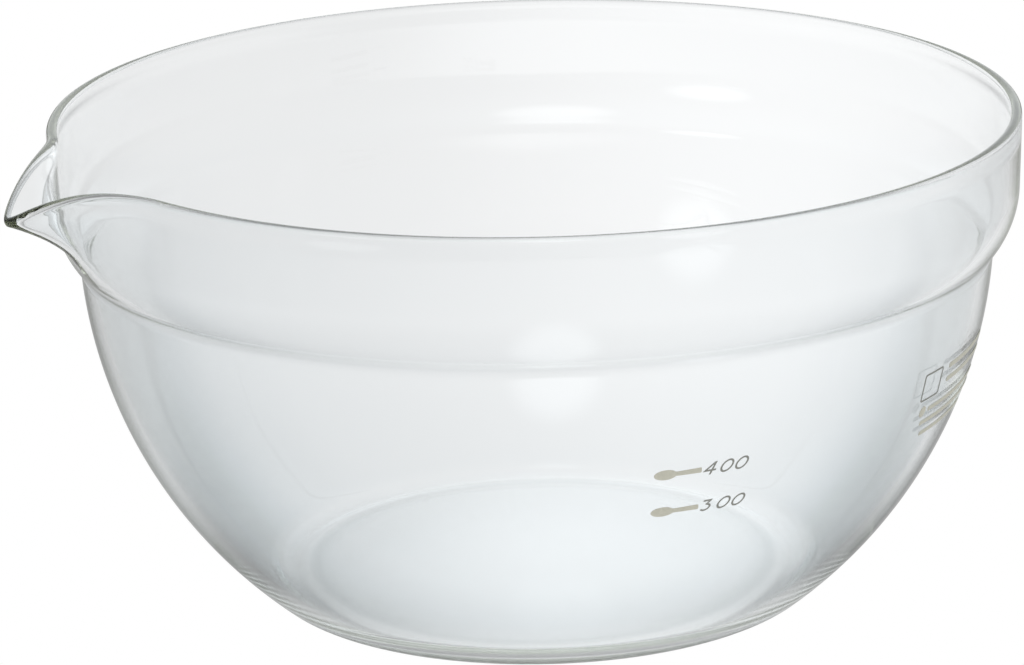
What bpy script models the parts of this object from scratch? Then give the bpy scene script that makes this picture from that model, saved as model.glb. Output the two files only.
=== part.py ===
"""Glass mixing bowl with a pouring spout and printed level marks.

Frame: the origin is on the bowl's axis at the centre of its flat underside, +Z is up,
and the spout points along -X. The bowl is symmetric about the XZ plane; the prints are not.
"""
import math

import bmesh
import bpy
from mathutils import Vector

# Driving dimensions of the glass, in metres and degrees.
RIM_RADIUS = 0.0775            # outside of the rim, away from the spout
HEIGHT = 0.0787                # top of the rim above the table
RIM_THICKNESS = 0.0018         # the rim is melted into a round bead this wide
WALL_TOP = 0.00135             # wall at the foot of the rim bead
WALL_BASE = 0.0021             # wall where the floor starts to turn up
FLOOR_THICKNESS = 0.0024
INNER_HEEL = 0.0120            # radius inside, where the floor turns up into the wall
BEAD_BLEND = 0.0030            # the wall swells into the rim bead over this length

# Outer profile, from the floor to the rim: fillet, belly arc, waist, shoulder arc, collar.
BELLY_RADIUS = 0.0768          # the belly is one arc
BELLY_CENTRE = (-0.0036, 0.0608)   # its centre, as radius and height
BASE_FILLET = 0.0062
WAIST_FILLET = 0.0030          # hollow corner where the belly meets the shoulder
SHOULDER_RADIUS = 0.0140       # the shoulder is one arc, from the waist to the collar
COLLAR_FOOT = 0.0663           # height where the shoulder runs into the straight collar
COLLAR_TAPER = 1.6             # from vertical

# Spout: the collar is pulled out and down over a narrow sector.
SPOUT_HALF_ANGLE = 17.6        # degrees of the rim on each side of the spout's middle
SPOUT_REACH = 0.0119           # how far the lip is pulled out
SPOUT_DROP = 0.0063            # how far the lip is pulled down
SPOUT_ROOT = 0.0589            # height where the pull begins
LIP_SHARPNESS = 1.77           # how pointed the lip is from above
LIP_ROUNDING = 0.105           # rounding of its tip, as a share of the half angle
DIP_SHARPNESS = 3.52           # how quickly the lip comes back up to the rim
PULL_GROWTH = 2.29             # how the outward pull grows from the root to the rim
DIP_GROWTH = 1.16              # how the downward pull grows

# Fineness of the bowl's mesh.
STEPS_ROUND = 80
SPOUT_CROWDING = 0.60          # draws the meridians together at the spout
FILLET_STEPS = 5
BELLY_STEPS = 10
WAIST_STEPS = 3
SHOULDER_STEPS = 5
COLLAR_STEPS = 3
BEAD_STEPS = 4
SHARP_ANGLE = math.radians(50)     # edges of the glass sharper than this stay crisp

# Printed marks: raised enamel on the belly, on the right of the spout.
INK_THICKNESS = 0.0003
INK_GAP = 0.0003               # clearance between the ink solids and the glass
MARK_AZIMUTH = 258.4           # left end of both level marks, in degrees from +X
MARK_TILT = 2.0                # the marks rise to the right, in degrees
LEVEL_HEIGHTS = {"400": 0.0389, "300": 0.0324}
OVAL_SIZE = (0.0036, 0.00175)
BAR_END = 0.0075               # the pointer's whole length
BAR_NECK_WIDTH = 0.00075
BAR_END_WIDTH = 0.0009
DIGIT_START = 0.0077
DIGIT_PITCH = 0.00245
DIGIT_HEIGHT = 0.0022
DIGIT_WIDTH = 0.0020
DIGIT_SLANT = 0.45             # sideways lean per unit of height
STROKE = 0.00032
OVAL_STEPS = 18                # straight steps round the ovals, the zeros and the dot
HOOK_STEPS = 7                 # straight steps round the lower bowl of the 3
MITRE_LIMIT = 0.35             # keeps the corners of a pen stroke from growing into spikes

# Care panel: an empty frame, a dot and plain bars, one above the other.
PANEL_AZIMUTH = 300.7          # the panel's left side, in degrees from +X
FRAME_HEIGHT = 0.0427          # the frame's middle above the table
FRAME_SIZE = (0.0060, 0.0048)
DOT_START = 0.0009             # from the panel's left side
DOT_HEIGHT = 0.0384
DOT_DIAMETER = 0.0019
PANEL_BARS = (                 # height above the table, start, length, width
    (0.0443, 0.0085, 0.0190, 0.0009),
    (0.0420, 0.0085, 0.0190, 0.0009),
    (0.0384, 0.0037, 0.0238, 0.0008),
    (0.0363, 0.0021, 0.0254, 0.0008),
    (0.0342, 0.0033, 0.0192, 0.0008),
)

FACET = math.radians(3.0)      # length of a straight step along a bent bar, seen from the axis
NUDGE = 1.0e-5                 # step used to find surface directions


def clear_scene():
    for item in list(bpy.data.objects):
        bpy.data.objects.remove(item, do_unlink=True)


def make_material(name, color, roughness, transmission=0.0, ior=1.47):
    material = bpy.data.materials.new(name)
    material.use_nodes = True
    shader = material.node_tree.nodes["Principled BSDF"]
    shader.inputs["Base Color"].default_value = (*color, 1.0)
    shader.inputs["Roughness"].default_value = roughness
    shader.inputs["Metallic"].default_value = 0.0
    shader.inputs["Transmission Weight"].default_value = transmission
    shader.inputs["IOR"].default_value = ior
    return material


def add_object(name, mesh, material):
    item = bpy.data.objects.new(name, mesh)
    item.data.materials.append(material)
    bpy.context.scene.collection.objects.link(item)
    return item


# ---------------------------------------------------------------- outer profile

def fillet_under_belly():
    """Centre of the fillet that touches the table plane and the inside of the belly arc."""
    across = BELLY_RADIUS - BASE_FILLET
    down = BELLY_CENTRE[1] - BASE_FILLET
    return BELLY_CENTRE[0] + math.sqrt(across ** 2 - down ** 2), BASE_FILLET


def shoulder_centre():
    """Centre of the shoulder arc, which touches the collar's line at the collar's foot."""
    collar = math.radians(COLLAR_TAPER)
    rim_height = HEIGHT - RIM_THICKNESS / 2
    radius = RIM_RADIUS - math.tan(collar) * (rim_height - COLLAR_FOOT)
    return (radius - SHOULDER_RADIUS * math.cos(collar),
            COLLAR_FOOT + SHOULDER_RADIUS * math.sin(collar))


def waist_centre():
    """Centre of the hollow fillet that touches the belly arc and the shoulder arc."""
    shoulder = shoulder_centre()
    from_belly = BELLY_RADIUS + WAIST_FILLET
    from_shoulder = SHOULDER_RADIUS + WAIST_FILLET
    across = shoulder[0] - BELLY_CENTRE[0]
    up = shoulder[1] - BELLY_CENTRE[1]
    apart = math.hypot(across, up)
    along = (apart ** 2 + from_belly ** 2 - from_shoulder ** 2) / (2 * apart)
    aside = math.sqrt(from_belly ** 2 - along ** 2)
    return (BELLY_CENTRE[0] + (across * along + up * aside) / apart,
            BELLY_CENTRE[1] + (up * along - across * aside) / apart)


def arc(centre, radius, start, end, steps, skip_first=False):
    """Points of an arc as (radius, height, lean); lean is the outer wall's angle from vertical."""
    points = []
    for index in range(1 if skip_first else 0, steps + 1):
        lean = start + (end - start) * index / steps
        points.append((centre[0] + radius * math.cos(lean),
                       centre[1] - radius * math.sin(lean), lean))
    return points


def outer_profile():
    """The outer wall from the edge of the flat underside up to the rim's middle height."""
    foot = fillet_under_belly()
    waist = waist_centre()
    shoulder = shoulder_centre()
    collar = math.radians(COLLAR_TAPER)
    belly_start = math.asin((BELLY_CENTRE[1] - foot[1]) / (BELLY_RADIUS - BASE_FILLET))
    belly_end = math.asin((BELLY_CENTRE[1] - waist[1]) / (BELLY_RADIUS + WAIST_FILLET))
    shoulder_start = math.asin((shoulder[1] - waist[1]) / (SHOULDER_RADIUS + WAIST_FILLET))
    profile = arc(foot, BASE_FILLET, math.pi / 2, belly_start, FILLET_STEPS)
    profile += arc(BELLY_CENTRE, BELLY_RADIUS, belly_start, belly_end, BELLY_STEPS, True)
    profile += arc(waist, -WAIST_FILLET, belly_end, shoulder_start, WAIST_STEPS, True)
    profile += arc(shoulder, SHOULDER_RADIUS, shoulder_start, collar, SHOULDER_STEPS, True)
    bottom = profile[-1]
    top = (RIM_RADIUS, HEIGHT - RIM_THICKNESS / 2)
    for index in range(1, COLLAR_STEPS + 1):
        share = index / COLLAR_STEPS
        profile.append((bottom[0] + (top[0] - bottom[0]) * share,
                        bottom[1] + (top[1] - bottom[1]) * share, collar))
    return profile


# ---------------------------------------------------------------- spout and glass thickness

def pull_share(angle, sharpness):
    """1 in the middle of the spout, 0 outside it, with a rounded peak."""
    share = abs(angle) / math.radians(SPOUT_HALF_ANGLE)
    if share >= 1.0:
        return 0.0
    away = math.hypot(share, LIP_ROUNDING) - LIP_ROUNDING
    most = math.hypot(1.0, LIP_ROUNDING) - LIP_ROUNDING
    return (1.0 - away / most) ** sharpness


def outer_point(azimuth, radius, height):
    """A point of the outer wall, with the spout's pull applied to the plain turned shape."""
    from_spout = math.remainder(azimuth - math.pi, 2 * math.pi)
    rim_height = HEIGHT - RIM_THICKNESS / 2
    climb = (height - SPOUT_ROOT) / (rim_height - SPOUT_ROOT)
    climb = min(max(climb, 0.0), 1.0)
    reach = SPOUT_REACH * pull_share(from_spout, LIP_SHARPNESS) * climb ** PULL_GROWTH
    drop = SPOUT_DROP * pull_share(from_spout, DIP_SHARPNESS) * climb ** DIP_GROWTH
    return Vector(((radius + reach) * math.cos(azimuth),
                   (radius + reach) * math.sin(azimuth),
                   height - drop))


def surface_directions(azimuth, radius, height, lean):
    """The outer wall's outward normal and its upward tangent at a point."""
    step = (NUDGE * math.sin(lean), NUDGE * math.cos(lean))
    turn = NUDGE / radius
    here = outer_point(azimuth, radius, height)
    below = outer_point(azimuth, radius - step[0], height - step[1])
    ahead = outer_point(azimuth + turn, radius, height)
    behind = outer_point(azimuth - turn, radius, height)
    upward = (here - below).normalized()
    return (ahead - behind).cross(upward).normalized(), upward


def heel_centre():
    """Centre of the inner heel arc, which touches the floor and the inside of the belly."""
    height = FLOOR_THICKNESS + INNER_HEEL
    span = BELLY_RADIUS - WALL_BASE - INNER_HEEL
    return (BELLY_CENTRE[0] + math.sqrt(span ** 2 - (BELLY_CENTRE[1] - height) ** 2), height)


def tapered_wall(height):
    """The wall thins from the floor to the rim, then swells into the rim's bead."""
    rim_height = HEIGHT - RIM_THICKNESS / 2
    plain = WALL_BASE + (WALL_TOP - WALL_BASE) * height / rim_height
    swell = min(max(1.0 - (rim_height - height) / BEAD_BLEND, 0.0), 1.0)
    swell = swell * swell * (3.0 - 2.0 * swell)
    return plain + (RIM_THICKNESS - plain) * swell


def wall_thickness(radius, height, lean):
    """Glass behind a point of the outside: the tapered wall, or the thicker inner heel."""
    wall = tapered_wall(height)
    centre = heel_centre()
    away = Vector((radius - centre[0], height - centre[1]))
    normal = Vector((math.cos(lean), -math.sin(lean)))
    along = away.dot(normal)
    inner = along ** 2 - away.length_squared + INNER_HEEL ** 2
    if inner <= 0.0:
        return wall
    heel = along - math.sqrt(inner)
    landing = away - normal * heel
    belly_side = Vector((centre[0] - BELLY_CENTRE[0], centre[1] - BELLY_CENTRE[1]))
    turned = belly_side.x * landing.y - belly_side.y * landing.x
    if turned < 0.0 and landing.y < 0.0:
        return max(heel, wall)
    return wall


def meridian_azimuths():
    """Azimuths round the bowl, closer together at the spout."""
    azimuths = []
    for index in range(STEPS_ROUND):
        even = 2 * math.pi * index / STEPS_ROUND
        azimuths.append(even + SPOUT_CROWDING * math.sin(even))
    return azimuths


def meridian_points(azimuth, profile):
    """One section of the glass: up the outside, over the bead, down inside to the level floor."""
    outside = []
    inside = []
    for radius, height, lean in profile:
        point = outer_point(azimuth, radius, height)
        normal, upward = surface_directions(azimuth, radius, height, lean)
        outside.append(point)
        inside.append(point - normal * wall_thickness(radius, height, lean))
    middle = outside[-1] - normal * RIM_THICKNESS / 2
    bead = []
    for index in range(1, BEAD_STEPS):
        angle = math.pi * index / BEAD_STEPS
        bead.append(middle + (normal * math.cos(angle) + upward * math.sin(angle))
                    * RIM_THICKNESS / 2)
    level = heel_centre()[0]
    edge = Vector((level * math.cos(azimuth), level * math.sin(azimuth), FLOOR_THICKNESS))
    return outside + bead + inside[::-1] + [edge]


def build_bowl(material):
    profile = outer_profile()
    mesh_builder = bmesh.new()
    sections = []
    for azimuth in meridian_azimuths():
        points = meridian_points(azimuth, profile)
        sections.append([mesh_builder.verts.new(point) for point in points])
    underside = mesh_builder.verts.new((0.0, 0.0, 0.0))
    floor = mesh_builder.verts.new((0.0, 0.0, FLOOR_THICKNESS))
    for index, here in enumerate(sections):
        beyond = sections[(index + 1) % len(sections)]
        mesh_builder.faces.new((underside, beyond[0], here[0]))
        for low in range(len(here) - 1):
            mesh_builder.faces.new((here[low], beyond[low], beyond[low + 1], here[low + 1]))
        mesh_builder.faces.new((floor, here[-1], beyond[-1]))
    bmesh.ops.recalc_face_normals(mesh_builder, faces=mesh_builder.faces)
    mesh = bpy.data.meshes.new("bowl_glass")
    mesh_builder.to_mesh(mesh)
    mesh_builder.free()
    mesh.shade_smooth()
    mesh.set_sharp_from_angle(angle=SHARP_ANGLE)
    return add_object("bowl_glass", mesh, material)


# ---------------------------------------------------------------- printed marks

def on_belly(azimuth, height, across, up, lift):
    """A place on the belly: across and up are measured along the glass, lift is off it."""
    lean = math.asin((BELLY_CENTRE[1] - height) / BELLY_RADIUS)
    radius = BELLY_CENTRE[0] + BELLY_RADIUS * math.cos(lean)
    azimuth = azimuth + across / radius
    lean = lean - up / BELLY_RADIUS
    radius = BELLY_CENTRE[0] + (BELLY_RADIUS + lift) * math.cos(lean)
    return Vector((radius * math.cos(azimuth), radius * math.sin(azimuth),
                   BELLY_CENTRE[1] - (BELLY_RADIUS + lift) * math.sin(lean)))


def finish_ink(name, builder, material):
    """Turns the faces outward and makes the object."""
    bmesh.ops.recalc_face_normals(builder, faces=builder.faces)
    if builder.calc_volume(signed=True) < 0.0:
        bmesh.ops.reverse_faces(builder, faces=builder.faces)
    mesh = bpy.data.meshes.new(name)
    builder.to_mesh(mesh)
    builder.free()
    return add_object(name, mesh, material)


def ink_plate(name, loops, azimuth, height, material):
    """A thin plate of ink, cut to closed outlines and laid along the belly."""
    builder = bmesh.new()
    edges = []
    for loop in loops:
        ring = [builder.verts.new((across, up, 0.0)) for across, up in loop]
        for index, vert in enumerate(ring):
            edges.append(builder.edges.new((ring[index - 1], vert)))
    bmesh.ops.triangle_fill(builder, use_beauty=True, edges=edges)
    grown = bmesh.ops.extrude_face_region(builder, geom=list(builder.faces))
    for item in grown["geom"]:
        if isinstance(item, bmesh.types.BMVert):
            item.co.z = INK_THICKNESS
    for vert in builder.verts:
        across, up, lift = vert.co
        vert.co = on_belly(azimuth, height, across, up, INK_GAP + lift)
    return finish_ink(name, builder, material)


def tilted(loop):
    """An outline turned about the mark's left end, so that the mark rises to the right."""
    turn = math.radians(MARK_TILT)
    return [(across * math.cos(turn) - up * math.sin(turn),
             across * math.sin(turn) + up * math.cos(turn)) for across, up in loop]


def pointer_outline():
    """An oval with a bar that widens away from it."""
    half_long = OVAL_SIZE[0] / 2
    half_high = OVAL_SIZE[1] / 2
    neck = math.asin(BAR_NECK_WIDTH / 2 / half_high)
    outline = []
    for index in range(OVAL_STEPS + 1):
        angle = neck + (2 * math.pi - 2 * neck) * index / OVAL_STEPS
        outline.append((half_long + half_long * math.cos(angle), half_high * math.sin(angle)))
    outline.append((BAR_END, -BAR_END_WIDTH / 2))
    outline.append((BAR_END, BAR_END_WIDTH / 2))
    return outline


def zero_outlines():
    """Two ellipses, in units of the digit's height."""
    half_wide = DIGIT_WIDTH / DIGIT_HEIGHT / 2
    stroke = STROKE / DIGIT_HEIGHT
    outer = []
    inner = []
    for index in range(OVAL_STEPS):
        angle = 2 * math.pi * index / OVAL_STEPS
        outer.append((half_wide + half_wide * math.cos(angle), 0.5 + 0.5 * math.sin(angle)))
        inner.append((half_wide + (half_wide - stroke) * math.cos(angle),
                      0.5 + (0.5 - stroke) * math.sin(angle)))
    return [outer, inner]


def stroke_outline(path, width):
    """The outline of a pen stroke of constant width along a path, with mitred corners."""
    left = []
    right = []
    for index, (x, y) in enumerate(path):
        before = path[max(index - 1, 0)]
        after = path[min(index + 1, len(path) - 1)]
        arriving = Vector((x - before[0], y - before[1]))
        leaving = Vector((after[0] - x, after[1] - y))
        arriving = (arriving if index > 0 else leaving).normalized()
        leaving = (leaving if index < len(path) - 1 else arriving).normalized()
        across = (arriving + leaving).normalized()
        reach = width / 2 / max(across.dot(arriving), MITRE_LIMIT)
        left.append((x - across.y * reach, y + across.x * reach))
        right.append((x + across.y * reach, y - across.x * reach))
    return left + right[::-1]


def three_outlines():
    """A flat top, a diagonal to the middle and a round lower bowl."""
    path = [(-0.08, 0.90), (0.46, 0.93), (0.20, 0.60)]
    for index in range(HOOK_STEPS + 1):
        angle = math.radians(70 - 200 * index / HOOK_STEPS)
        path.append((0.28 + 0.30 * math.cos(angle), 0.34 + 0.25 * math.sin(angle)))
    return [stroke_outline(path, STROKE / DIGIT_HEIGHT)]


def four_outlines():
    """A stem, a crossbar and a diagonal, which close a triangle."""
    half = STROKE / DIGIT_HEIGHT / 2
    stem = 0.52
    bar = 0.34
    bar_end = 0.78
    slope = (1.0 - bar) / stem
    edge = half * math.hypot(1.0, slope)
    outer = [(stem - half, 0.0), (stem - half, bar - half), (-(half + edge) / slope, bar - half),
             ((1.0 - bar - edge) / slope, 1.0), (stem + half, 1.0), (stem + half, bar + half),
             (bar_end, bar + half), (bar_end, bar - half), (stem + half, bar - half),
             (stem + half, 0.0)]
    inner = [((half + edge) / slope, bar + half), (stem - half, bar + half),
             (stem - half, bar + slope * (stem - half) - edge)]
    return [outer, inner]


def digit_loops(digit, place):
    """Outlines of one digit in metres, slanted, centred on its level line."""
    shapes = {"0": zero_outlines, "3": three_outlines, "4": four_outlines}
    start = DIGIT_START + place * DIGIT_PITCH
    loops = []
    for loop in shapes[digit]():
        loops.append(tilted([(start + DIGIT_HEIGHT * (x + DIGIT_SLANT * y),
                              DIGIT_HEIGHT * (y - 0.5)) for x, y in loop]))
    return loops


def build_level_mark(label, height, material):
    azimuth = math.radians(MARK_AZIMUTH)
    pointer = [tilted(pointer_outline())]
    ink_plate("level_" + label + "_pointer", pointer, azimuth, height, material)
    for place, digit in enumerate(label):
        name = "level_" + label + "_digit_" + str(place + 1)
        ink_plate(name, digit_loops(digit, place), azimuth, height, material)


def build_care_frame(material):
    """An empty rectangular frame, cut as one thin line with square corners."""
    loops = []
    for inset in (0.0, STROKE):
        left, right = inset, FRAME_SIZE[0] - inset
        top = FRAME_SIZE[1] / 2 - inset
        loops.append([(left, -top), (right, -top), (right, top), (left, top)])
    azimuth = math.radians(PANEL_AZIMUTH)
    return ink_plate("care_frame", loops, azimuth, FRAME_HEIGHT, material)


def build_care_dot(material):
    radius = DOT_DIAMETER / 2
    loop = []
    for index in range(OVAL_STEPS):
        angle = 2 * math.pi * index / OVAL_STEPS
        loop.append((DOT_START + radius + radius * math.cos(angle), radius * math.sin(angle)))
    return ink_plate("care_dot", [loop], math.radians(PANEL_AZIMUTH), DOT_HEIGHT, material)


def build_care_bar(name, height, start, length, width, material):
    """A plain bar bent round the belly, built from box-like steps."""
    builder = bmesh.new()
    azimuth = math.radians(PANEL_AZIMUTH)
    steps = math.ceil(length / (FACET * RIM_RADIUS))
    sections = []
    for index in range(steps + 1):
        across = start + length * index / steps
        corners = [(-width / 2, INK_GAP), (width / 2, INK_GAP),
                   (width / 2, INK_GAP + INK_THICKNESS), (-width / 2, INK_GAP + INK_THICKNESS)]
        sections.append([builder.verts.new(on_belly(azimuth, height, across, up, lift))
                         for up, lift in corners])
    for here, beyond in zip(sections, sections[1:]):
        for index in range(4):
            builder.faces.new((here[index - 1], here[index], beyond[index], beyond[index - 1]))
    builder.faces.new(sections[0])
    builder.faces.new(sections[-1])
    return finish_ink(name, builder, material)


def main():
    clear_scene()
    glass = make_material("clear_glass", (0.90, 0.93, 0.92), 0.02, transmission=1.0)
    ink = make_material("grey_olive_enamel", (0.52, 0.52, 0.45), 0.55)
    build_bowl(glass)
    for label, height in LEVEL_HEIGHTS.items():
        build_level_mark(label, height, ink)
    build_care_frame(ink)
    build_care_dot(ink)
    for index, (height, start, length, width) in enumerate(PANEL_BARS):
        build_care_bar("care_bar_" + str(index + 1), height, start, length, width, ink)


main()
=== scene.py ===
"""Looks of the glass mixing bowl: clear glass, printed enamel, a pale floor and soft light."""
import math

import bmesh
import bpy
import numpy as np
from mathutils import Matrix, Vector


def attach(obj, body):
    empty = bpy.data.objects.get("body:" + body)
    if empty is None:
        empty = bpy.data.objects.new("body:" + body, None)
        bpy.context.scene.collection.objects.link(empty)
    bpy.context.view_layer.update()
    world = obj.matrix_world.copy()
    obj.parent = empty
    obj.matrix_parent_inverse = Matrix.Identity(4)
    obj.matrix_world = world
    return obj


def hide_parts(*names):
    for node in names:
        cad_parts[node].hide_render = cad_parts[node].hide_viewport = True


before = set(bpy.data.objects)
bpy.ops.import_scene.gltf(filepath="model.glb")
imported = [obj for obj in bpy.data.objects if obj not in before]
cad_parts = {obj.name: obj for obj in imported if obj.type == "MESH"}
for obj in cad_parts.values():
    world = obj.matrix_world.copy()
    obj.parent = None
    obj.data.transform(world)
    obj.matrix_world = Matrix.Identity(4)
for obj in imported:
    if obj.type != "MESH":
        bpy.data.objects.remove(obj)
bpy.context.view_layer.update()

# ---- the glass, in metres and degrees: the same dimensions as the CAD part
RIM_RADIUS = 0.0775
HEIGHT = 0.0787
RIM_THICKNESS = 0.0018
WALL_TOP = 0.00135
WALL_BASE = 0.0021
FLOOR_THICKNESS = 0.0024
INNER_HEEL = 0.0120
BEAD_BLEND = 0.0030
BELLY_RADIUS = 0.0768
BELLY_CENTRE = (-0.0036, 0.0608)
BASE_FILLET = 0.0062
WAIST_FILLET = 0.0030
SHOULDER_RADIUS = 0.0140
COLLAR_FOOT = 0.0663
COLLAR_TAPER = 1.6
SPOUT_HALF_ANGLE = 17.6
SPOUT_REACH = 0.0119
SPOUT_DROP = 0.0063
SPOUT_ROOT = 0.0589
LIP_SHARPNESS = 1.77
LIP_ROUNDING = 0.105
DIP_SHARPNESS = 3.52
PULL_GROWTH = 2.29
DIP_GROWTH = 1.16
RIM_HEIGHT = HEIGHT - RIM_THICKNESS / 2

# ---- fineness of the glass mesh; the meridians crowd at the spout, the floor's rings at the heel
MERIDIANS = 480
SPOUT_CROWDING = 0.62
SLOPE_STEP = 1.0e-6
FLOOR_RINGS = 26
FLOOR_CROWDING = 2
FILLET_STEPS = 26
BELLY_STEPS = 60
WAIST_STEPS = 10
SHOULDER_STEPS = 26
COLLAR_STEPS = 16
BEAD_STEPS = 14

# ---- prints: places are a height on the belly and a distance along it from the azimuth
MARK_AZIMUTH = 258.4
MARK_TILT = 2.0
LEVEL_HEIGHTS = {"400": 0.0389, "300": 0.0324}
OVAL_SIZE = (0.0036, 0.00175)
OVAL_STEPS = 60
BAR_END = 0.0075
BAR_NECK_WIDTH = 0.00075
BAR_END_WIDTH = 0.0009
BAR_END_CORNER = 0.00018
DIGIT_START = 0.0077
DIGIT_PITCH = 0.00245
DIGIT_HEIGHT = 0.0022
DIGIT_WIDTH = 0.0020
DIGIT_SLANT = 0.45
STROKE = 0.00028
STROKE_END = (0.3, math.pi - 0.3)
RING_STEPS = 44
CORNER_STEPS = 6
PANEL_AZIMUTH = 300.7
FRAME_HEIGHT = 0.0427
FRAME_SIZE = (0.0060, 0.0048)
FRAME_CORNER = 0.0005
FRAME_INNER_CORNER = 0.0003
DOT_START = 0.0009
DOT_HEIGHT = 0.0384
DOT_DIAMETER = 0.0019
# ---- the panel's bars: (height, start, length, width)
PANEL_BARS = (
    (0.0443, 0.0085, 0.0190, 0.0009),
    (0.0420, 0.0085, 0.0190, 0.0009),
    (0.0384, 0.0037, 0.0238, 0.0008),
    (0.0363, 0.0021, 0.0254, 0.0008),
    (0.0342, 0.0033, 0.0192, 0.0008),
)
PANEL_BAR_CORNER = 0.3
PANEL_BAR_STEPS = 4
FILM_GAP = 0.00003
FILM_THICKNESS = 0.00006
FILM_FACET = 0.0008

# ---- digit shapes, in digit heights from the lower left corner
THREE_TOP = ((-0.08, 0.90), (0.20, 0.915), (0.46, 0.93), (0.33, 0.77), (0.20, 0.60))
THREE_BOWL = (0.28, 0.34)
THREE_BOWL_REACH = (0.30, 0.25)
THREE_BOWL_TURN = (70, -130)
THREE_BOWL_STEPS = 16
FOUR_STEM = 0.52
FOUR_BAR = 0.34
FOUR_BAR_END = 0.80

# ---- camera
CAMERA_PLACE = (-0.33941, -0.71448, 0.27809)
CAMERA_HEADING = 64.899
CAMERA_PITCH = 16.658
CAMERA_ROLL = -1.326
CAMERA_LENS = 179.84
CAMERA_SENSOR = 36.0
CAMERA_NEAR = 0.01

# ---- glass colour: (how far edge-on, colour) for the surface, the glass's faint tint face-on, then painted shade that deepens edge-on
GLASS_TINT_AND_PAINTED_EDGE_SHADE = (
    (0.00, (0.975, 0.985, 0.990)),
    (0.25, (0.955, 0.975, 0.985)),
    (0.40, (0.890, 0.920, 0.935)),
    (0.50, (0.760, 0.800, 0.820)),
    (0.58, (0.655, 0.690, 0.700)),
    (0.78, (0.620, 0.655, 0.665)),
    (0.90, (0.480, 0.520, 0.530)),
    (1.00, (0.560, 0.600, 0.610)),
)
CLEAR_GLASS = (0.975, 0.985, 0.990, 1.0)

# ---- how much of that painted edge shade a point shows: on the underside, by height (in metres) on the wall
# ---- and on its heel outside, and by distance from the axis on the inside floor, where a band left
# clear paints a bright ring
EDGE_SHADE_SHARE = "edge_shade_share"
UNDERSIDE_SHARE = 0.06
WALL_SHARES = (
    (0.0008, 0.00),
    (0.0028, 0.85),
    (0.0100, 1.00),
    (0.0300, 0.95),
    (0.0530, 0.52),
    (0.0580, 0.48),
    (0.0640, 0.18),
    (0.0740, 0.20),
    (0.0765, 0.00),
)
HEEL_TOP = 0.01
HEEL_SHARES = ((0.0, 0.9), (0.0012, 0.9), (0.0024, 0.60), (0.0060, 0.70), (0.0100, 0.95))
FLOOR_SHARES = ((0.0, 0.06), (0.0340, 0.20), (0.0372, 0.55), (0.0380, 0.55), (0.0386, 0.0),
                (0.0412, 0.0))

# ---- painted shade, how far the colour is darkened (1 is not at all): by height on the near half of the heel,
# ---- the half towards the camera, where the cosine of the angle from straight ahead runs from the
# first to the second value,
# ---- by distance from the axis on the inside floor as a painted dark line, and at the top of the
# rim's bead as a painted dark line
PAINTED_SHADE = "painted_shade"
HEEL_SHADES = ((0.0, 0.26), (0.0018, 0.32), (0.0032, 1.00))
HEEL_NEAR = (-0.10, -0.55)
FLOOR_SHADES = ((0.0, 1.00), (0.0362, 1.00), (0.0371, 0.94), (0.0380, 0.94), (0.0387, 1.00))
BEAD_SHADE = 0.28
BEAD_SHADE_FOCUS = 4

# ---- the bulk of the glass and the faint waves of its surface
GLASS_IOR = 1.47
GLASS_BULK = (0.82, 0.85, 0.66, 1.0)
GLASS_DENSITY = 2.5
WAVE_SCALE = 45.0
WAVE_DETAIL = 1.0
WAVE_ROUGHNESS = 0.4
WAVE_STRENGTH = 0.25
WAVE_DEPTH = 0.00010

# ---- enamel: the light and the dark tone of the filled marks and of the thin lines
FILL_TONES = ((0.58, 0.56, 0.47), (0.46, 0.45, 0.37))
LINE_TONES = ((0.29, 0.29, 0.26), (0.21, 0.21, 0.19))
ENAMEL_ROUGHNESS = 0.5
SPECKLE_SCALE = 5200.0
SPECKLE_DETAIL = 2.0
SPECKLE_ROUGHNESS = 0.6
SPECKLE_STOPS = (0.35, 0.62)
SPECKLE_STRENGTH = 0.3
SPECKLE_DEPTH = 0.00003

# ---- the floor, and what is seen of the stage directly and in the outside of the glass
FLOOR_RADIUS = 6.0
FLOOR_LEVEL = -0.0002
FLOOR_SIDES = 96
PLAIN_LIGHT = 1.0
MIRRORED_SHARE = 0.50

# ---- the painted bright pool of light on the floor, centre and reach in metres
POOL_CENTRE = (0.255, 0.543)
POOL_REACH = (2.40, 0.34)
POOL_EDGE = 0.30
POOL_LEFT = 0.88
POOL_RIGHT = 1.04
POOL_HALF_WIDTH = 0.07

# ---- the painted shadow ring in front of the bowl: (start, end) of its rise and fall from the axis
# ---- outwards and of its fade towards the back, and how much light it takes away
RING_RISE = (0.042, 0.056)
RING_FALL = (0.090, 0.220)
RING_BACK = (-0.040, 0.030)
RING_DEPTH = 0.66

# ---- the painted shade on the table under the foot: its edge, and its (right, left) places and levels
FOOT_EDGE = (0.038, 0.048)
FOOT_SIDES = (-0.010, 0.046)
FOOT_LEVELS = (1.06, 0.87)

# ---- the room
ROOM_TINT = (0.95, 0.985, 1.0, 1.0)
BRIGHT_SIDE = -60.0
ROOM_DIM = 0.20
ROOM_LIGHT = 0.50
ROOM_TOP = 0.50
OVERHEAD = (0.2, 1.0)
LIGHT_BOUNCES = 256

# ---- soft lights in the room: (degrees left of the camera, height, half width, strength)
GLOWS = (
    (180.0, 25.0, 60.0, 0.75),
    (46.0, 16.0, 14.0, 1.05),
    (8.0, 57.0, 15.0, 1.15),
)


# ---------------------------------------------------------------- node helpers

def new_material(name):
    material = bpy.data.materials.new(name)
    material.use_nodes = True
    material.node_tree.nodes.clear()
    return material, material.node_tree


def add_node(tree, kind, **settings):
    node = tree.nodes.new(kind)
    for key, value in settings.items():
        if key in node.inputs:
            node.inputs[key].default_value = value
        else:
            setattr(node, key, value)
    return node


def link(tree, source, socket, target, entry):
    tree.links.new(source.outputs[socket], target.inputs[entry])


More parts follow.
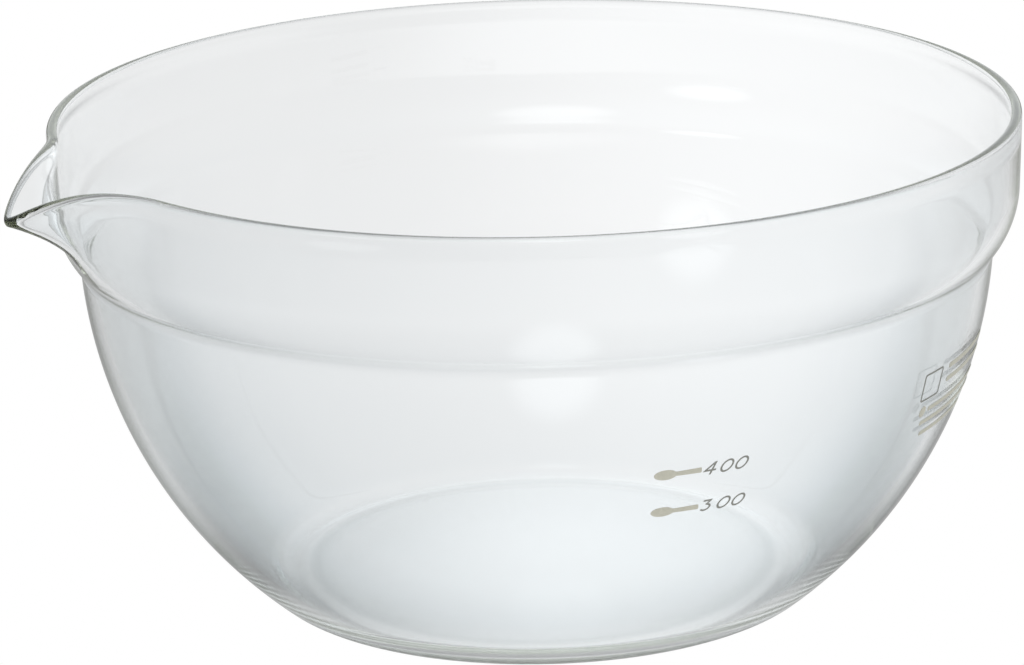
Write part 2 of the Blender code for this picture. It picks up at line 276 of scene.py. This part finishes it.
def smooth_step(tree, source, socket, start, end, low, high):
    """A smooth change from low to high while the source goes from start to end."""
    change = add_node(tree, "ShaderNodeMapRange", **{"From Min": start, "From Max": end,
                                                     "To Min": low, "To Max": high})
    change.interpolation_type = "SMOOTHERSTEP"
    link(tree, source, socket, change, "Value")
    return change


# ---------------------------------------------------------------- glass shape

def arc(centre, radius, start, end, steps, skip_first=False):
    """Points of an arc; the angle is 0 at its outermost point and grows downwards."""
    lean = np.linspace(start, end, steps + 1)[1 if skip_first else 0:]
    return np.stack([centre[0] + radius * np.cos(lean), centre[1] - radius * np.sin(lean)], 1)


def outer_profile():
    """Points of the outer wall, from the edge of the flat underside to the rim's middle height."""
    across = BELLY_RADIUS - BASE_FILLET
    down = BELLY_CENTRE[1] - BASE_FILLET
    foot = (BELLY_CENTRE[0] + math.sqrt(across ** 2 - down ** 2), BASE_FILLET)
    collar = math.radians(COLLAR_TAPER)
    collar_foot = RIM_RADIUS - math.tan(collar) * (RIM_HEIGHT - COLLAR_FOOT)
    shoulder = np.array([collar_foot - SHOULDER_RADIUS * math.cos(collar),
                         COLLAR_FOOT + SHOULDER_RADIUS * math.sin(collar)])
    belly = np.array(BELLY_CENTRE)
    far_belly = BELLY_RADIUS + WAIST_FILLET
    far_shoulder = SHOULDER_RADIUS + WAIST_FILLET
    apart = np.linalg.norm(shoulder - belly)
    along = (shoulder - belly) / apart
    step = (apart ** 2 + far_belly ** 2 - far_shoulder ** 2) / (2 * apart)
    side = np.array([along[1], -along[0]])
    waist = belly + along * step + side * math.sqrt(far_belly ** 2 - step ** 2)
    belly_start = math.asin((belly[1] - foot[1]) / across)
    belly_end = math.asin((belly[1] - waist[1]) / far_belly)
    shoulder_start = math.asin((shoulder[1] - waist[1]) / far_shoulder)
    parts = [arc(foot, BASE_FILLET, math.pi / 2, belly_start, FILLET_STEPS),
             arc(belly, BELLY_RADIUS, belly_start, belly_end, BELLY_STEPS, True),
             arc(waist, -WAIST_FILLET, belly_end, shoulder_start, WAIST_STEPS, True),
             arc(shoulder, SHOULDER_RADIUS, shoulder_start, collar, SHOULDER_STEPS, True)]
    bottom = parts[-1][-1]
    share = np.linspace(0, 1, COLLAR_STEPS + 1)[1:, None]
    parts.append(bottom + (np.array([RIM_RADIUS, RIM_HEIGHT]) - bottom) * share)
    return np.concatenate(parts)


def pull_share(angle, sharpness):
    """How much of the spout's pull acts at an angle from the spout, rounded at its lip."""
    share = np.minimum(np.abs(angle) / math.radians(SPOUT_HALF_ANGLE), 1.0)
    away = np.hypot(share, LIP_ROUNDING) - LIP_ROUNDING
    most = math.hypot(1.0, LIP_ROUNDING) - LIP_ROUNDING
    return np.maximum(1.0 - away / most, 0.0) ** sharpness


def outer_point(azimuth, radius, height):
    """Places on the outer wall, with the spout's pull applied to the turned shape."""
    from_spout = (azimuth % (2 * math.pi)) - math.pi
    climb = np.clip((height - SPOUT_ROOT) / (RIM_HEIGHT - SPOUT_ROOT), 0.0, 1.0)
    reach = SPOUT_REACH * pull_share(from_spout, LIP_SHARPNESS) * climb ** PULL_GROWTH
    drop = SPOUT_DROP * pull_share(from_spout, DIP_SHARPNESS) * climb ** DIP_GROWTH
    return np.stack([(radius + reach) * np.cos(azimuth), (radius + reach) * np.sin(azimuth),
                     height - drop], -1)


def unit(vectors):
    return vectors / np.linalg.norm(vectors, axis=-1, keepdims=True)


def heel_centre():
    """Centre of the round between the inside floor and the inside wall."""
    height = FLOOR_THICKNESS + INNER_HEEL
    span = BELLY_RADIUS - WALL_BASE - INNER_HEEL
    return np.array([BELLY_CENTRE[0] + math.sqrt(span ** 2 - (BELLY_CENTRE[1] - height) ** 2),
                     height])


def heel_rise(radius):
    """How far the inside floor has curved up at a radius."""
    out = np.clip(radius - heel_centre()[0], 0.0, INNER_HEEL)
    return INNER_HEEL - np.sqrt(INNER_HEEL ** 2 - out ** 2)


def wall_thickness(profile, normal):
    """Thickness along the normal at each profile point: a tapered wall, a bead and a thick heel."""
    height = profile[:, 1]
    plain = WALL_BASE + (WALL_TOP - WALL_BASE) * height / RIM_HEIGHT
    swell = np.clip(1.0 - (RIM_HEIGHT - height) / BEAD_BLEND, 0.0, 1.0)
    swell = swell * swell * (3.0 - 2.0 * swell)
    wall = plain + (RIM_THICKNESS - plain) * swell
    centre = heel_centre()
    away = profile - centre
    along = (away * normal).sum(1)
    inner = along ** 2 - (away ** 2).sum(1) + INNER_HEEL ** 2
    heel = along - np.sqrt(np.maximum(inner, 0.0))
    landing = away - normal * heel[:, None]
    belly_side = centre - np.array(BELLY_CENTRE)
    turned = belly_side[0] * landing[:, 1] - belly_side[1] * landing[:, 0]
    in_heel = (inner > 0.0) & (turned < 0.0) & (landing[:, 1] < 0.0)
    return np.where(in_heel, np.maximum(heel, wall), wall)


def wall_surfaces(profile, azimuth):
    """Outer points, their upward and outward directions and the inner points of the wall."""
    radius = profile[None, :, 0]
    height = profile[None, :, 1]
    tangent = unit(np.gradient(profile, axis=0))
    run = SLOPE_STEP * tangent[None, :, 0]
    rise = SLOPE_STEP * tangent[None, :, 1]
    outside = outer_point(azimuth, radius, height)
    above = outer_point(azimuth, radius + run, height + rise)
    below = outer_point(azimuth, radius - run, height - rise)
    ahead = outer_point(azimuth + SLOPE_STEP / radius, radius, height)
    behind = outer_point(azimuth - SLOPE_STEP / radius, radius, height)
    upward = unit(above - below)
    normal = unit(np.cross(ahead - behind, upward))
    lean = np.stack([tangent[:, 1], -tangent[:, 0]], 1)
    thickness = wall_thickness(profile, lean)
    return outside, upward, normal, outside - normal * thickness[None, :, None]


def glass_faces(rows, under_centre, floor_centre):
    """Faces between the neighbouring meridians, each a run of points in rows."""
    faces = []
    for here in range(MERIDIANS):
        first = here * rows
        beyond = (here + 1) % MERIDIANS * rows
        faces.append((under_centre, beyond, first))
        faces.extend((first + k, beyond + k, beyond + k + 1, first + k + 1)
                     for k in range(rows - 1))
        faces.append((floor_centre, first + rows - 1, beyond + rows - 1))
    return faces


def store_values(mesh, name, values, centres):
    """Stores a value at each point of each meridian, then at the two centre points."""
    stored = mesh.attributes.new(name, "FLOAT", "POINT")
    stored.data.foreach_set("value", np.append(values, centres))


def build_glass():
    profile = outer_profile()
    even = 2 * math.pi * np.arange(MERIDIANS) / MERIDIANS
    azimuth = (even + SPOUT_CROWDING * np.sin(even))[:, None]
    outside, upward, normal, inside = wall_surfaces(profile, azimuth)
    turn = math.pi * np.arange(1, BEAD_STEPS) / BEAD_STEPS
    rim_normal = normal[:, -1:]
    middle = outside[:, -1:] - rim_normal * RIM_THICKNESS / 2
    bead = middle + (rim_normal * np.cos(turn)[None, :, None]
                     + upward[:, -1:] * np.sin(turn)[None, :, None]) * RIM_THICKNESS / 2
    share = np.linspace(0, 1, FLOOR_RINGS + 1)[1:-1]
    under = outside[:, :1] * np.array([1, 1, 0]) * share[None, :, None]
    inward = 1.0 - share[None, :, None] ** FLOOR_CROWDING
    floor = inside[:, :1] * np.array([1, 1, 0]) * inward
    floor[..., 2] = FLOOR_THICKNESS + heel_rise(np.hypot(floor[..., 0], floor[..., 1]))
    section = np.concatenate([under, outside, bead, inside[:, ::-1], floor], 1)
    rows = section.shape[1]
    verts = section.reshape(-1, 3)
    faces = glass_faces(rows, len(verts), len(verts) + 1)
    verts = np.concatenate([verts, [[0, 0, 0], [0, 0, FLOOR_THICKNESS]]])
    mesh = bpy.data.meshes.new("glass_bowl")
    mesh.from_pydata(verts.tolist(), [], faces)
    mesh.validate()
    mesh.shade_smooth()

    # painted edge shade: the share of it each point shows, with a clear band on the inside floor as
    # a painted bright ring
    height = profile[:, 1]
    across = np.hypot(floor[0, :, 0], floor[0, :, 1])
    wall = np.interp(height, *zip(*WALL_SHARES))
    heel = np.interp(height, *zip(*HEEL_SHARES))
    body = np.concatenate([np.full(len(share), UNDERSIDE_SHARE),
                           np.where(height < HEEL_TOP, heel, wall), np.zeros(len(turn)),
                           wall[::-1], np.interp(across, *zip(*FLOOR_SHARES))])
    store_values(mesh, EDGE_SHADE_SHARE, np.tile(body, MERIDIANS), [UNDERSIDE_SHARE, UNDERSIDE_SHARE])

    # painted shade per point: a darker heel on the side towards the camera, a dark line at the
    # bead's top and one on the inside floor
    shade = np.ones((MERIDIANS, rows))
    toward = np.cos(azimuth - math.radians(CAMERA_HEADING))
    near = np.clip((toward - HEEL_NEAR[0]) / (HEEL_NEAR[1] - HEEL_NEAR[0]), 0.0, 1.0)
    heel_shade = np.interp(height, *zip(*HEEL_SHADES))[None]
    bead_shade = 1.0 - (1.0 - BEAD_SHADE) * np.sin(turn)[None] ** BEAD_SHADE_FOCUS
    wall_start = len(share)
    bead_start = wall_start + len(profile)
    shade[:, wall_start:bead_start] = 1.0 - (1.0 - heel_shade) * near
    shade[:, bead_start:bead_start + len(turn)] = bead_shade
    shade[:, -len(share):] = np.interp(across, *zip(*FLOOR_SHADES))[None]
    store_values(mesh, PAINTED_SHADE, shade.ravel(), [1.0, FLOOR_SHADES[0][1]])

    bowl = bpy.data.objects.new("glass_bowl", mesh)
    bpy.context.scene.collection.objects.link(bowl)
    return bowl


# ---------------------------------------------------------------- printed films

def on_belly(azimuth, height, across, up, lift):
    """The point a distance across and up from a place on the belly, lifted off the glass."""
    lean = math.asin((BELLY_CENTRE[1] - height) / BELLY_RADIUS)
    radius = BELLY_CENTRE[0] + BELLY_RADIUS * math.cos(lean)
    azimuth = azimuth + across / radius
    lean = lean - up / BELLY_RADIUS
    radius = BELLY_CENTRE[0] + (BELLY_RADIUS + lift) * math.cos(lean)
    return Vector((radius * math.cos(azimuth), radius * math.sin(azimuth),
                   BELLY_CENTRE[1] - (BELLY_RADIUS + lift) * math.sin(lean)))


def tilted(loop):
    turn = math.radians(MARK_TILT)
    return [(x * math.cos(turn) - y * math.sin(turn), x * math.sin(turn) + y * math.cos(turn))
            for x, y in loop]


def film(name, loops, azimuth, height, material, node):
    """A thin print cut to closed outlines and laid on the belly."""
    builder = bmesh.new()
    edges = []
    for loop in loops:
        ring = [builder.verts.new((x, y, 0.0)) for x, y in loop]
        for index, vert in enumerate(ring):
            edges.append(builder.edges.new((ring[index - 1], vert)))
    bmesh.ops.triangle_fill(builder, use_beauty=True, edges=edges)
    places = [vert.co.x for vert in builder.verts]
    cut = min(places) + FILM_FACET
    while cut < max(places) - FILM_FACET / 4:
        everything = list(builder.verts) + list(builder.edges) + list(builder.faces)
        bmesh.ops.bisect_plane(builder, geom=everything, plane_co=(cut, 0, 0), plane_no=(1, 0, 0))
        cut += FILM_FACET
    grown = bmesh.ops.extrude_face_region(builder, geom=list(builder.faces))
    for item in grown["geom"]:
        if isinstance(item, bmesh.types.BMVert):
            item.co.z = FILM_THICKNESS
    for vert in builder.verts:
        x, y, lift = vert.co
        vert.co = on_belly(math.radians(azimuth), height, x, y, FILM_GAP + lift)
    bmesh.ops.recalc_face_normals(builder, faces=builder.faces)
    if builder.calc_volume(signed=True) < 0.0:
        bmesh.ops.reverse_faces(builder, faces=builder.faces)
    mesh = bpy.data.meshes.new(name)
    builder.to_mesh(mesh)
    builder.free()
    mesh.materials.append(material)
    piece = bpy.data.objects.new(name, mesh)
    bpy.context.scene.collection.objects.link(piece)
    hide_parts(node)
    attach(piece, "root")
    return piece


def pointer_outline():
    """An oval that runs on into a bar with rounded end corners."""
    half_long = OVAL_SIZE[0] / 2
    half_high = OVAL_SIZE[1] / 2
    neck = math.asin(BAR_NECK_WIDTH / 2 / half_high)
    outline = []
    for angle in np.linspace(neck, 2 * math.pi - neck, OVAL_STEPS):
        outline.append((half_long + half_long * math.cos(angle), half_high * math.sin(angle)))
    corner = BAR_END_CORNER
    for sign, first in ((-1, -90), (1, 0)):
        for angle in np.linspace(first, first + 90, CORNER_STEPS):
            outline.append((BAR_END - corner + corner * math.cos(math.radians(angle)),
                            sign * (BAR_END_WIDTH / 2 - corner)
                            + corner * math.sin(math.radians(angle))))
    return outline


def ring_outlines(centre, half_wide, half_high, stroke):
    """The outer and the inner outline of an oval ring."""
    loops = []
    for inset in (0.0, stroke):
        loops.append([(centre[0] + (half_wide - inset) * math.cos(angle),
                       centre[1] + (half_high - inset) * math.sin(angle))
                      for angle in np.linspace(0, 2 * math.pi, RING_STEPS, endpoint=False)])
    return loops


def stroke_outline(path, width):
    """A pen stroke with round ends along a path."""
    path = np.array(path, float)
    direction = unit(np.gradient(path, axis=0))
    side = np.stack([-direction[:, 1], direction[:, 0]], 1) * width / 2
    left = (path + side).tolist()
    right = (path - side).tolist()
    ends = []
    for point, heading in ((path[-1], direction[-1]), (path[0], -direction[0])):
        first = math.atan2(heading[1], heading[0]) + math.pi / 2
        ends.append([(point[0] + width / 2 * math.cos(first - turn),
                      point[1] + width / 2 * math.sin(first - turn))
                     for turn in np.linspace(*STROKE_END, CORNER_STEPS)])
    return left + ends[0] + right[::-1] + ends[1]


def three_outlines():
    path = list(THREE_TOP)
    for angle in np.radians(np.linspace(*THREE_BOWL_TURN, THREE_BOWL_STEPS)):
        path.append((THREE_BOWL[0] + THREE_BOWL_REACH[0] * math.cos(angle),
                     THREE_BOWL[1] + THREE_BOWL_REACH[1] * math.sin(angle)))
    return [stroke_outline(path, STROKE / DIGIT_HEIGHT)]


def four_outlines():
    half = STROKE / DIGIT_HEIGHT / 2
    stem, bar = FOUR_STEM, FOUR_BAR
    slope = (1.0 - bar) / stem
    edge = half * math.hypot(1.0, slope)
    outer = [(stem - half, 0.0), (stem - half, bar - half), (-(half + edge) / slope, bar - half),
             ((1.0 - bar - edge) / slope, 1.0), (stem + half, 1.0), (stem + half, bar + half),
             (FOUR_BAR_END, bar + half), (FOUR_BAR_END, bar - half),
             (stem + half, bar - half), (stem + half, 0.0)]
    inner = [((half + edge) / slope, bar + half), (stem - half, bar + half),
             (stem - half, bar + slope * (stem - half) - edge)]
    return [outer, inner]


def zero_outlines():
    half_wide = DIGIT_WIDTH / DIGIT_HEIGHT / 2
    return ring_outlines((half_wide, 0.5), half_wide, 0.5, STROKE / DIGIT_HEIGHT)


def digit_loops(digit, place):
    shapes = {"0": zero_outlines, "3": three_outlines, "4": four_outlines}
    start = DIGIT_START + place * DIGIT_PITCH
    return [tilted([(start + DIGIT_HEIGHT * (x + DIGIT_SLANT * y), DIGIT_HEIGHT * (y - 0.5))
                    for x, y in loop]) for loop in shapes[digit]()]


def rounded_box(left, bottom, right, top, corner, steps=CORNER_STEPS):
    outline = []
    for centre, first in (((right - corner, top - corner), 0), ((left + corner, top - corner), 90),
                          ((left + corner, bottom + corner), 180),
                          ((right - corner, bottom + corner), 270)):
        for angle in np.radians(np.linspace(first, first + 90, steps)):
            outline.append((centre[0] + corner * math.cos(angle),
                            centre[1] + corner * math.sin(angle)))
    return outline


def build_prints(fill, line):
    for label, height in LEVEL_HEIGHTS.items():
        name = "level_" + label
        film("print_" + name + "_pointer", [tilted(pointer_outline())], MARK_AZIMUTH, height, fill,
             name + "_pointer")
        for place, digit in enumerate(label):
            node = name + "_digit_" + str(place + 1)
            film("print_" + node, digit_loops(digit, place), MARK_AZIMUTH, height, line, node)
    half = FRAME_SIZE[1] / 2
    loops = [rounded_box(0, -half, FRAME_SIZE[0], half, FRAME_CORNER),
             rounded_box(STROKE, STROKE - half, FRAME_SIZE[0] - STROKE, half - STROKE,
                         FRAME_INNER_CORNER)]
    film("print_care_frame", loops, PANEL_AZIMUTH, FRAME_HEIGHT, line, "care_frame")
    radius = DOT_DIAMETER / 2
    dot = ring_outlines((DOT_START + radius, 0), radius, radius, 0)[:1]
    film("print_care_dot", dot, PANEL_AZIMUTH, DOT_HEIGHT, fill, "care_dot")
    for index, (height, start, length, width) in enumerate(PANEL_BARS):
        node = "care_bar_" + str(index + 1)
        outline = rounded_box(start, -width / 2, start + length, width / 2,
                              width * PANEL_BAR_CORNER, PANEL_BAR_STEPS)
        film("print_" + node, [outline], PANEL_AZIMUTH, height, fill, node)


# ---------------------------------------------------------------- materials

def set_stops(ramp, stops):
    """Fills a colour ramp with (position, colour) stops."""
    stops = list(stops)
    points = ramp.color_ramp.elements
    while len(points) < len(stops):
        points.new(1.0)
    for point, (position, colour) in zip(points, stops):
        point.position = position
        point.color = (*colour, 1.0)


def glass_material():
    """Clear glass, olive in the bulk: a faint cool tint, with painted shade that deepens where the
    wall is seen edge-on.
    """
    material, tree = new_material("clear_glass")
    out = add_node(tree, "ShaderNodeOutputMaterial")
    shader = add_node(tree, "ShaderNodeBsdfPrincipled", **{
        "IOR": GLASS_IOR, "Transmission Weight": 1.0, "Roughness": 0.0})
    absorb = add_node(tree, "ShaderNodeVolumeAbsorption", Color=GLASS_BULK, Density=GLASS_DENSITY)
    lean = add_node(tree, "ShaderNodeLayerWeight", Blend=0.5)
    tint_and_edge_shade = add_node(tree, "ShaderNodeValToRGB")
    set_stops(tint_and_edge_shade, GLASS_TINT_AND_PAINTED_EDGE_SHADE)
    place = add_node(tree, "ShaderNodeTexCoord")
    waves = add_node(tree, "ShaderNodeTexNoise", Scale=WAVE_SCALE, Detail=WAVE_DETAIL,
                     Roughness=WAVE_ROUGHNESS)
    bump = add_node(tree, "ShaderNodeBump", Strength=WAVE_STRENGTH, Distance=WAVE_DEPTH)
    # the stored share sets how much of the painted edge shade each point shows
    body = add_node(tree, "ShaderNodeAttribute", attribute_name=EDGE_SHADE_SHARE)
    colour = add_node(tree, "ShaderNodeMix", data_type="RGBA")
    colour.inputs[6].default_value = CLEAR_GLASS
    link(tree, lean, "Facing", tint_and_edge_shade, "Fac")
    link(tree, body, "Fac", colour, 0)
    link(tree, tint_and_edge_shade, "Color", colour, 7)
    # the stored painted shade darkens the colour
    shade = add_node(tree, "ShaderNodeAttribute", attribute_name=PAINTED_SHADE)
    deepened = add_node(tree, "ShaderNodeVectorMath", operation="SCALE")
    link(tree, colour, 2, deepened, 0)
    link(tree, shade, "Fac", deepened, "Scale")
    link(tree, deepened, "Vector", shader, "Base Color")
    link(tree, place, "Object", waves, "Vector")
    link(tree, waves, "Fac", bump, "Height")
    link(tree, bump, "Normal", shader, "Normal")
    link(tree, shader, "BSDF", out, "Surface")
    link(tree, absorb, "Volume", out, "Volume")
    return material


def enamel_material(name, light, dark):
    """Fired enamel: a speckle of two tones, a little raised and satin."""
    material, tree = new_material(name)
    out = add_node(tree, "ShaderNodeOutputMaterial")
    shader = add_node(tree, "ShaderNodeBsdfPrincipled", Roughness=ENAMEL_ROUGHNESS)
    place = add_node(tree, "ShaderNodeTexCoord")
    speckle = add_node(tree, "ShaderNodeTexNoise", Scale=SPECKLE_SCALE, Detail=SPECKLE_DETAIL,
                       Roughness=SPECKLE_ROUGHNESS)
    ramp = add_node(tree, "ShaderNodeValToRGB")
    set_stops(ramp, zip(SPECKLE_STOPS, (dark, light)))
    bump = add_node(tree, "ShaderNodeBump", Strength=SPECKLE_STRENGTH, Distance=SPECKLE_DEPTH)
    link(tree, place, "Object", speckle, "Vector")
    link(tree, speckle, "Fac", ramp, "Fac")
    link(tree, ramp, "Color", shader, "Base Color")
    link(tree, speckle, "Fac", bump, "Height")
    link(tree, bump, "Normal", shader, "Normal")
    link(tree, shader, "BSDF", out, "Surface")
    return material


# ---------------------------------------------------------------- studio

def room_light(tree, source, socket):
    """Brightness of the room by direction: dim on the left and in front, light on the right."""
    side = add_node(tree, "ShaderNodeVectorMath", operation="DOT_PRODUCT")
    bright = math.radians(CAMERA_HEADING + BRIGHT_SIDE)
    side.inputs[1].default_value = (math.cos(bright), math.sin(bright), 0.0)
    link(tree, source, socket, side, 0)
    return smooth_step(tree, side, "Value", -1.0, 1.0, ROOM_DIM, ROOM_LIGHT)


def blend_values(tree, share, low, high):
    """Mixes two values; each of the three is a (node, socket) pair or a number."""
    blend = add_node(tree, "ShaderNodeMix")
    for entry, given in zip((0, 2, 3), (share, low, high)):
        if isinstance(given, tuple):
            link(tree, *given, blend, entry)
        else:
            blend.inputs[entry].default_value = given
    return blend


def plain_when_seen(tree, level):
    """Even white to the eye and to the matt prints; the glass meets the studio's gradient."""
    path = add_node(tree, "ShaderNodeLightPath")
    plain = add_node(tree, "ShaderNodeMath", operation="MAXIMUM")
    link(tree, path, "Is Camera Ray", plain, 0)
    link(tree, path, "Is Diffuse Ray", plain, 1)
    return blend_values(tree, (plain, 0), (level, 0), PLAIN_LIGHT)


def scaled_when_mirrored(tree, level):
    """Dims what the outside of the glass mirrors into a painted darker reflection, as black cards
    round a lit table would.
    """
    path = add_node(tree, "ShaderNodeLightPath")
    dimmed = add_node(tree, "ShaderNodeMath", operation="MULTIPLY")
    dimmed.inputs[1].default_value = MIRRORED_SHARE
    link(tree, level, 0, dimmed, 0)
    return blend_values(tree, (path, "Is Reflection Ray"), (level, 0), (dimmed, 0))


def heel_shadow(tree, place, level):
    """A painted shadow: dims the table in a ring round the near half of the bowl's thick heel."""
    reach = add_node(tree, "ShaderNodeVectorMath", operation="LENGTH")
    ahead = add_node(tree, "ShaderNodeVectorMath", operation="DOT_PRODUCT")
    heading = math.radians(CAMERA_HEADING)
    ahead.inputs[1].default_value = (math.cos(heading), math.sin(heading), 0.0)
    link(tree, place, "Object", reach, 0)
    link(tree, place, "Object", ahead, 0)
    rise = smooth_step(tree, reach, "Value", *RING_RISE, 0.0, RING_DEPTH)
    fade = smooth_step(tree, reach, "Value", *RING_FALL, 1.0, 0.0)
    near = smooth_step(tree, ahead, "Value", *RING_BACK, 1.0, 0.0)
    ring = add_node(tree, "ShaderNodeMath", operation="MULTIPLY")
    link(tree, rise, "Result", ring, 0)
    link(tree, fade, "Result", ring, 1)
    half = add_node(tree, "ShaderNodeMath", operation="MULTIPLY")
    link(tree, ring, 0, half, 0)
    link(tree, near, "Result", half, 1)
    return blend_values(tree, (half, 0), (level, 0), 0.0)


def foot_light(tree, place, level):
    """Painted shade on the table under the bowl's foot, from bright on the right to grey on the
    left.
    """
    reach = add_node(tree, "ShaderNodeVectorMath", operation="LENGTH")
    left = add_node(tree, "ShaderNodeVectorMath", operation="DOT_PRODUCT")
    heading = math.radians(CAMERA_HEADING)
    left.inputs[1].default_value = (-math.sin(heading), math.cos(heading), 0.0)
    link(tree, place, "Object", reach, 0)
    link(tree, place, "Object", left, 0)
    under = smooth_step(tree, reach, "Value", *FOOT_EDGE, 1.0, 0.0)
    grey = smooth_step(tree, left, "Value", *FOOT_SIDES, *FOOT_LEVELS)
    scaled = add_node(tree, "ShaderNodeMath", operation="MULTIPLY")
    link(tree, level, 0, scaled, 0)
    link(tree, grey, "Result", scaled, 1)
    return blend_values(tree, (under, "Result"), (level, 0), (scaled, 0))


def build_floor():
    """A round table top of white acrylic that glows, with a painted pool of light around the bowl
    and behind it, a painted shadow ring and painted shade under the foot.
    """
    mesh = bpy.data.meshes.new("studio_floor")
    builder = bmesh.new()
    bmesh.ops.create_circle(builder, cap_ends=True, segments=FLOOR_SIDES,
                            radius=FLOOR_RADIUS)
    builder.to_mesh(mesh)
    builder.free()
    floor = bpy.data.objects.new("studio_floor", mesh)
    floor.location.z = FLOOR_LEVEL
    bpy.context.scene.collection.objects.link(floor)
    material, tree = new_material("white_floor_painted_light")
    out = add_node(tree, "ShaderNodeOutputMaterial")
    glow = add_node(tree, "ShaderNodeEmission", Color=(1.0, 1.0, 1.0, 1.0))
    place = add_node(tree, "ShaderNodeTexCoord")
    turned = add_node(tree, "ShaderNodeMapping", vector_type="TEXTURE")
    turned.inputs["Location"].default_value = (*POOL_CENTRE, 0.0)
    turned.inputs["Rotation"].default_value = (0.0, 0.0, math.radians(CAMERA_HEADING))
    turned.inputs["Scale"].default_value = (*POOL_REACH, 1.0)
    parts = add_node(tree, "ShaderNodeSeparateXYZ")
    far = add_node(tree, "ShaderNodeVectorMath", operation="LENGTH")
    edge = POOL_HALF_WIDTH / POOL_REACH[1]
    across = smooth_step(tree, parts, "Y", -edge, edge, POOL_RIGHT, POOL_LEFT)
    outward = smooth_step(tree, far, "Value", POOL_EDGE, 1.0, 0.0, 1.0)
    ahead = add_node(tree, "ShaderNodeVectorMath", operation="NORMALIZE")
    room = room_light(tree, ahead, "Vector")
    level = blend_values(tree, (outward, "Result"), (across, "Result"), (room, "Result"))
    level = heel_shadow(tree, place, level)
    level = foot_light(tree, place, level)
    mirrored = scaled_when_mirrored(tree, level)
    level = plain_when_seen(tree, mirrored)
    link(tree, place, "Object", turned, "Vector")
    link(tree, place, "Object", ahead, 0)
    link(tree, turned, "Vector", parts, "Vector")
    link(tree, turned, "Vector", far, 0)
    link(tree, level, 0, glow, "Strength")
    link(tree, glow, "Emission", out, "Surface")
    mesh.materials.append(material)


def build_world():
    """A plain room with soft round lights."""
    world = bpy.data.worlds.new("studio")
    bpy.context.scene.world = world
    world.use_nodes = True
    tree = world.node_tree
    tree.nodes.clear()
    out = add_node(tree, "ShaderNodeOutputWorld")
    sky = add_node(tree, "ShaderNodeBackground")
    sky.inputs["Color"].default_value = ROOM_TINT
    place = add_node(tree, "ShaderNodeTexCoord")
    light = room_light(tree, place, "Generated")
    parts = add_node(tree, "ShaderNodeSeparateXYZ")
    overhead = smooth_step(tree, parts, "Z", *OVERHEAD, 0.0, 1.0)
    level = blend_values(tree, (overhead, "Result"), (light, "Result"), ROOM_TOP)
    link(tree, place, "Generated", parts, "Vector")
    for left, height, half_width, strength in GLOWS:
        azimuth = math.radians(CAMERA_HEADING + 180.0 - left)
        height = math.radians(height)
        near = add_node(tree, "ShaderNodeVectorMath", operation="DOT_PRODUCT")
        near.inputs[1].default_value = (math.cos(azimuth) * math.cos(height),
                                        math.sin(azimuth) * math.cos(height), math.sin(height))
        spot = smooth_step(tree, near, "Value", math.cos(math.radians(half_width)), 1.0,
                           0.0, strength)
        total = add_node(tree, "ShaderNodeMath", operation="ADD")
        link(tree, place, "Generated", near, 0)
        link(tree, level, 0, total, 0)
        link(tree, spot, "Result", total, 1)
        level = total
    level = plain_when_seen(tree, level)
    link(tree, level, 0, sky, "Strength")
    link(tree, sky, "Background", out, "Surface")


def build_camera():
    heading = math.radians(CAMERA_HEADING)
    pitch = math.radians(CAMERA_PITCH)
    roll = math.radians(CAMERA_ROLL)
    forward = Vector((math.cos(heading) * math.cos(pitch), math.sin(heading) * math.cos(pitch),
                      -math.sin(pitch)))
    right = Vector((math.sin(heading), -math.cos(heading), 0.0))
    up = right.cross(forward)
    leaning = math.cos(roll) * right + math.sin(roll) * up
    top = -math.sin(roll) * right + math.cos(roll) * up
    data = bpy.data.cameras.new("camera")
    data.lens = CAMERA_LENS
    data.sensor_width = CAMERA_SENSOR
    data.clip_start = CAMERA_NEAR
    camera = bpy.data.objects.new("camera", data)
    turn = Matrix((leaning, top, -forward)).transposed().to_4x4()
    camera.matrix_world = Matrix.Translation(CAMERA_PLACE) @ turn
    bpy.context.scene.collection.objects.link(camera)
    bpy.context.scene.camera = camera


def main():
    scene = bpy.context.scene
    scene.view_settings.view_transform = "Standard"
    scene.cycles.max_bounces = LIGHT_BOUNCES
    scene.cycles.glossy_bounces = LIGHT_BOUNCES
    scene.cycles.transmission_bounces = LIGHT_BOUNCES
    build_camera()
    bowl = build_glass()
    bowl.data.materials.append(glass_material())
    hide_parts("bowl_glass")
    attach(bowl, "root")
    fill = enamel_material("enamel_fill", *FILL_TONES)
    line = enamel_material("enamel_line", *LINE_TONES)
    build_prints(fill, line)
    build_floor()
    build_world()


main()
